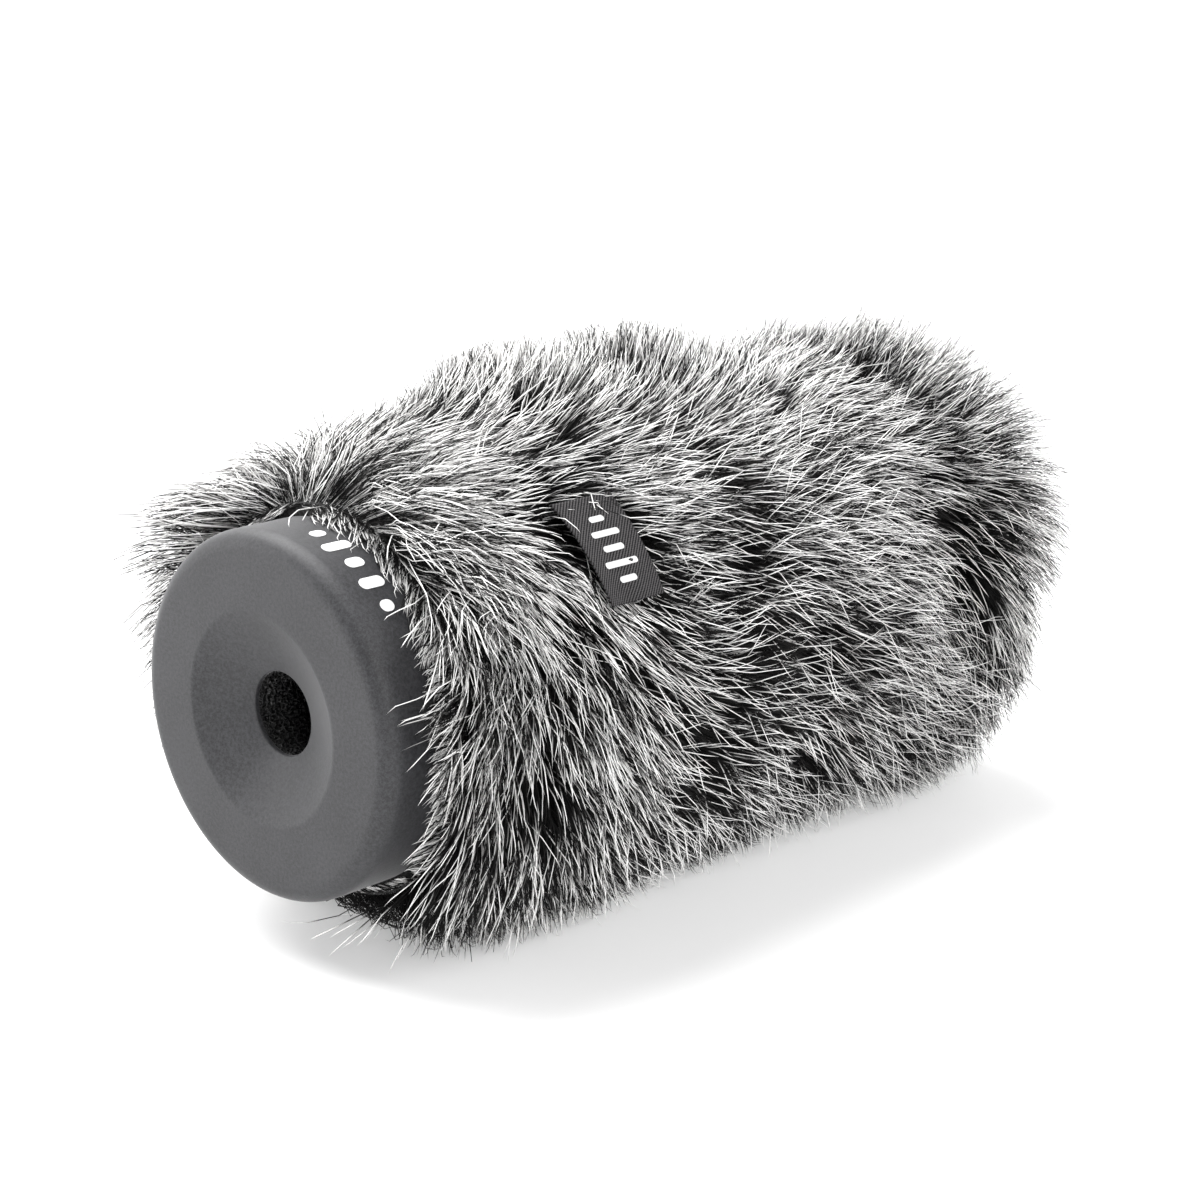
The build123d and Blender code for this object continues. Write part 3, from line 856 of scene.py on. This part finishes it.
def make_pile(material, count=158000, locks=6000):
    """Long grizzled guard hair gathered in locks, over short dark underfur."""
    draw = np.random.default_rng(11)
    leaders = lock_leaders(locks, 5)
    travel, around = even_roots(count, 1)
    roots = cover_point(travel, around, 0.0)
    gap = parted(travel, around)[1]
    underneath = roots[:, 2] < -BACKING_RADIUS * 0.85
    keep = draw.random(count) > np.maximum(0.5 * underneath, 0.55 * gap)
    travel, around, roots, gap = travel[keep], around[keep], roots[keep], gap[keep]
    count = len(travel)
    stray = draw.random(count) < 0.045 + 0.045 * (roots[:, 2] < 0.6 * BACKING_RADIUS)
    under = (draw.random(count) < 0.34) & ~stray
    length = np.where(under, draw.uniform(9, 14, count), draw.uniform(18, 27, count))
    length = np.where(stray, draw.uniform(20, 29, count), length) * (1 - 0.35 * gap)
    length = length * (1 + 0.36 * amount(TUFTS, travel, around))
    messy = amount(TOUSLED, travel, around)
    swing = draw.normal(0, 0.26, count) * (1 + 2.2 * messy) + np.where(stray, draw.normal(0, 0.8, count), 0)
    standing = draw.normal(0, 0.1, count) + np.where(stray, 0.15, 0) + 0.2 * messy
    by_hem = np.clip(1.4 - travel / 22, 0, 1)
    laid = amount(LAID, travel, around)
    points = grow(travel, around, length, standing, swing, 5, root_rise=72 - 38 * by_hem - 34 * laid)
    pull = np.where(stray, 0.0, draw.uniform(0.35, 0.85, count)) * (1 - 0.6 * messy)
    points, apart = gather(points, leaders, pull)
    points = settle(points, stray & (draw.random(count) < 0.1))

    patch = value_noise(roots, 9.0, 21, 1)[:, 0]
    speck = value_noise(roots, 3.0, 22, 1)[:, 0]
    # painted light: strands rooted higher up get paler tones, standing in for the light falling from above
    lit = 0.16 * roots[:, 2] / BACKING_RADIUS
    # painted shade: strands standing further from their lock's leader, in the gaps between locks, get darker
    # tones
    tone = draw.uniform(0, 1, count) + 0.2 * patch + 0.16 * speck - 0.1 * (apart - 1.2) + lit - 0.26
    # partly painted shade: fewer pale tips on the shaded side and in the end recess, along with uneven dark
    # patches in the grizzle
    tone -= 0.34 * amount(PATCHY_AND_SHADED, travel, around)
    tone = np.clip(np.where(under, tone * 0.3, tone), 0, 1)
    tone = np.where(stray, np.maximum(tone, 0.7), tone)
    width = np.where(tone > 0.45, draw.uniform(0.2, 0.3, count), draw.uniform(0.15, 0.21, count))
    width = width * (1 - 0.25 * np.clip((roots[:, 1] - 90) / 80, 0, 1))
    # painted light: roots by the hem are made pale, most on top, to lift the shade in the gap between the
    # pile and the cap's band
    show = 0.75 * by_hem * np.clip(0.4 + roots[:, 2] / BACKING_RADIUS, 0, 1)
    on_end = travel > SEAM_TRAVEL
    layers = [
        ("sleeve_guard_hair", ~on_end & ~under, "fur_sleeve", GUARD_RINGS, 9000),
        ("end_guard_hair", on_end & ~under, "fur_end_panel", GUARD_RINGS, 9000),
        ("sleeve_underfur", ~on_end & under, "fur_sleeve", UNDER_RINGS, 19500),
        ("end_underfur", on_end & under, "fur_end_panel", UNDER_RINGS, 19500),
    ]
    turned = np.mod(np.degrees(around) + 100, 360)
    for label, chosen, node, rings, per_piece in layers:
        chosen = np.flatnonzero(chosen)
        chosen = chosen[np.argsort(turned[chosen])]
        for i, group in enumerate(np.array_split(chosen, math.ceil(len(chosen) / per_piece))):
            piece = strand_mesh(
                f"{label}_{i + 1:02d}",
                points[group],
                width[group],
                tone[group],
                show[group],
                rings,
                material,
            )
            place_pile(piece, node)


def place_pile(piece, node):
    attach(piece, "root")
    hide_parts(node)


def make_hem_fringe(material, count=14000):
    """Short pale hair along the hem, lying over the gap between the cover and the cap's band."""
    draw = np.random.default_rng(17)
    around = draw.uniform(0, 2 * math.pi, count)
    on_top = np.clip((np.sin(around) - 0.5) / 0.3, 0, 1)
    travel = (6.0 + 4.0 * on_top) * draw.uniform(0, 1, count) ** 1.5
    length = draw.uniform(6, 12.5, count)
    swing = draw.normal(0, 0.45, count) * (1 + 0.8 * on_top)
    standing = draw.normal(-0.2, 0.12, count)
    pull = draw.uniform(0.25 - 0.25 * on_top, 0.9 - 0.35 * on_top, count)
    length = np.where(np.sin(around) < -0.6, 0.6 * length, length)
    points = grow(travel, around, length, standing, swing, 5, root_rise=16.0, droop=44.0, forward_pull=pull)
    points = settle(points, travel < 0)
    tone = draw.uniform(0.1, 1, count)
    width = draw.uniform(0.2, 0.3, count)
    piece = strand_mesh("hem_fringe", points, width, tone, np.full(count, 0.35), FRINGE_RINGS, material)
    place_pile(piece, "fur_sleeve")


# ---- label ------------------------------------------------------------------------------
def make_label(ribbon, thread):
    """Folded ribbon hanging from the seam, with a woven motif of level bars."""
    across = np.linspace(-LABEL_WIDTH / 2, LABEL_WIDTH / 2, 25)
    root = 6.0
    drop = LABEL_RADIUS * math.radians(SEAM_AROUND - LABEL_TIP_AROUND)
    along = np.linspace(-root, drop, 50)
    c, l = np.meshgrid(across, along, indexing="xy")

    def surface(c, l, lift):
        hanging = np.maximum(l, 0)
        around = math.radians(SEAM_AROUND) - hanging / LABEL_RADIUS
        radius = LABEL_RADIUS + np.minimum(l, 0) + lift
        # one edge curls up off the pile and the free end ripples a little
        curl = 1.3 * np.clip(-c / (LABEL_WIDTH / 2), 0, 1) ** 2 * np.clip(hanging / drop, 0, 1)
        radius = radius + curl + 0.25 * np.sin(c * 0.55) * hanging / drop
        y = LABEL_MIDDLE + c - LABEL_LEAN * hanging / drop
        return np.stack([radius * np.cos(around), y, radius * np.sin(around)], axis=-1)

    thick = 0.45
    front, back = surface(c, l, thick / 2), surface(c, l, -thick / 2)
    rows, columns = c.shape
    verts = np.concatenate([front.reshape(-1, 3), back.reshape(-1, 3)])
    size = rows * columns
    faces = [tuple(reversed(face)) for face in grid_faces(rows, columns)]
    faces += [tuple(size + v for v in face) for face in grid_faces(rows, columns)]
    rim = list(range(columns)) + [i * columns + columns - 1 for i in range(1, rows)]
    rim += [(rows - 1) * columns + j for j in range(columns - 2, -1, -1)]
    rim += [i * columns for i in range(rows - 2, 0, -1)]
    for i, here in enumerate(rim):
        after = rim[(i + 1) % len(rim)]
        faces.append((here, after, size + after, size + here))
    piece = mesh_piece("label_ribbon_flap", verts, faces, ribbon)
    cloth = piece.data.uv_layers.new(name="cloth")
    flat_c, flat_l = np.tile(c.ravel(), 2), np.tile(l.ravel(), 2)
    for loop in piece.data.loops:
        cloth.data[loop.index].uv = (flat_c[loop.vertex_index], flat_l[loop.vertex_index])
    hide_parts("label_flap", "label_seam_tab")
    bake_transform(piece)

    lengths = (4.2, 8.0, 5.8, 9.6, 4.6)
    verts, faces = [], []
    for i, bar in enumerate(lengths):
        middle = drop * 0.52 + (i - 2) * 3.5
        steps = np.linspace(0, 2 * math.pi, 28, endpoint=False)
        half = 0.7
        c_out = np.sign(np.cos(steps)) * (bar / 2 - half) + half * np.cos(steps)
        l_out = middle + half * np.sin(steps)
        top = surface(c_out, l_out, thick / 2 + 0.07)
        low = surface(c_out, l_out, thick / 2 - 0.05)
        base = len(verts)
        verts += top.tolist() + low.tolist()
        n = len(steps)
        faces.append(tuple(base + k for k in reversed(range(n))))
        faces += [(base + k, base + (k + 1) % n, base + n + (k + 1) % n, base + n + k) for k in range(n)]
        faces.append(tuple(base + n + k for k in range(n)))
    motif = mesh_piece("label_woven_motif", verts, faces, thread, smooth=False)
    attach(motif, "label")


# ---- studio -------------------------------------------------------------------------------
def make_studio():
    """White floor and backdrop, a high soft key, soft fills and a pale world."""
    floor = FLOOR * MM
    heading = math.radians(CAMERA_AZIMUTH)
    forward = np.array([-math.sin(heading), math.cos(heading)])
    right = np.array([math.cos(heading), math.sin(heading)])
    far, half, height = 2.2, 3.6, 2.6
    surround_radius = 3400

    def sheet(name, profile, glow):
        verts = []
        for travel, rise in profile:
            for side in (-half, half):
                spot = forward * travel + right * side
                verts.append((spot[0] / MM, spot[1] / MM, (floor + rise) / MM))
        piece = mesh_piece(name, verts, grid_faces(len(profile), 2), stage_material(name, glow))

    sheet("studio_floor", [(-half, 0.0), (0.0, 0.0), (far, 0.0)], 0.34)
    sheet("studio_backdrop", [(far, 0.0), (far, height)], 1.0)
    # a white surround for the other angles, which casts no light on the windscreen
    turns = np.linspace(0, 2 * math.pi, 96, endpoint=False)
    circle = [(surround_radius * math.cos(t), surround_radius * math.sin(t)) for t in turns]
    verts = [(x, y, FLOOR + rise) for rise in (0, 1e3 * height) for x, y in circle]
    faces = grid_faces(2, len(turns), wrap_columns=True)
    surround = mesh_piece("studio_surround", verts, faces, stage_material("surround", 1.0))
    surround.visible_diffuse = False
    surround.visible_glossy = False
    surround.visible_shadow = False

    sun = bpy.data.lights.new("key", "SUN")
    sun.energy = 6.6
    sun.angle = math.radians(50)
    key = bpy.data.objects.new("key", sun)
    key.rotation_euler = Vector((-0.48, -0.02, 0.88)).to_track_quat("Z", "Y").to_euler()
    bpy.context.scene.collection.objects.link(key)

    def area(name, place, aim, size, power):
        light = bpy.data.lights.new(name, "AREA")
        light.shape = "RECTANGLE"
        light.size, light.size_y = size
        light.energy = power
        lamp = bpy.data.objects.new(name, light)
        lamp.location = place
        lamp.rotation_euler = (Vector(aim) - Vector(place)).to_track_quat("-Z", "Y").to_euler()
        bpy.context.scene.collection.objects.link(lamp)

    area("front_fill", (-1.25, -1.1, 0.4), (0, 0.05, 0), (0.8, 0.8), 14)
    area("side_fill", (1.2, -0.5, 0.7), (0, 0.1, 0), (0.7, 0.7), 11)
    area("end_fill", (1.1, 0.95, 0.75), (0, 0.15, 0), (0.7, 0.7), 16)
    world = bpy.data.worlds.new("studio")
    world.use_nodes = True
    world.node_tree.nodes["Background"].inputs["Color"].default_value = (1, 1, 1, 1)
    world.node_tree.nodes["Background"].inputs["Strength"].default_value = 0.28
    bpy.context.scene.world = world
    bpy.context.scene.view_settings.view_transform = "Standard"


CAMERA_AZIMUTH, CAMERA_ELEVATION, CAMERA_DISTANCE = 43.15, 15.06, 0.574
CAMERA_AIM = Vector((-0.0146, 0.1115, -0.0002))


def make_camera():
    azimuth, elevation = math.radians(CAMERA_AZIMUTH), math.radians(CAMERA_ELEVATION)
    back = Vector((
        math.sin(azimuth) * math.cos(elevation),
        -math.cos(azimuth) * math.cos(elevation),
        math.sin(elevation),
    ))
    data = bpy.data.cameras.new("camera")
    data.lens = 70.5
    data.sensor_width = 36
    camera = bpy.data.objects.new("camera", data)
    camera.location = CAMERA_AIM + back * CAMERA_DISTANCE
    camera.rotation_euler = (-back).to_track_quat("-Z", "Y").to_euler()
    bpy.context.scene.collection.objects.link(camera)
    bpy.context.scene.camera = camera


rubber = rubber_material()
foam = foam_material()
ribbon = twill_material()
backing = knit_material("backing", 0.012, 0.9)
pile = pile_material()
node_materials = {
    "cap_rubber": rubber,
    "print_ink": ink_material(),
    "foam": foam,
    "adhesive": glue_material(),
    "pile": backing,
    "backing": backing,
    "thread": knit_material("thread", 0.02, 0.3),
    "elastic": knit_material("elastic", 0.03, 0.5),
    "label_ribbon": knit_material("ribbon_edge", 0.05, 0.4),
}
make_camera()
make_cap(rubber)
make_foam(foam)
make_backing(backing)
make_label(ribbon, motif_material())
dress_cad_nodes(node_materials)
make_pile(pile)
make_hem_fringe(pile)
make_studio()
